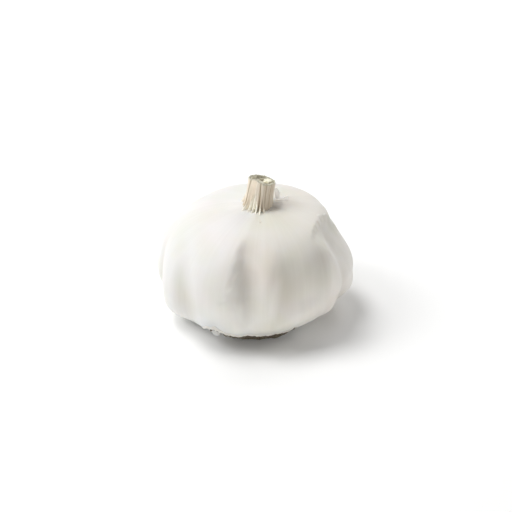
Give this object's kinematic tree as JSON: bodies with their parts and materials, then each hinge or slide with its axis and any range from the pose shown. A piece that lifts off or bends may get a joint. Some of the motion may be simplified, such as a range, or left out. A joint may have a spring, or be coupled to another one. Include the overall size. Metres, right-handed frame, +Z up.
{
  "type": "garlic bulb",
  "caption": "Whole dry garlic bulb: cloves wrapped in white papery skin under a short cut neck, standing on a trimmed root plate.",
  "frame": {"origin": "centre of the bulb's footprint, on the flat of the root plate that it stands on", "axes": "+Z up along the neck, -Y towards the viewer in the picture, +X to the viewer's right"},
  "size_m": [0.0607, 0.0602, 0.0436],
  "materials": {
    "papery_skin": "satin, translucent papery skin, off-white",
    "dry_neck": "matt, dry fibrous leaf sheaths, pale tan",
    "root_plate": "matt, dry and corky, brown"
  },
  "bodies": {
    "root": {"bulb": "papery_skin", "neck": "dry_neck", "root_plate": "root_plate"}
  },
  "joints": []
}
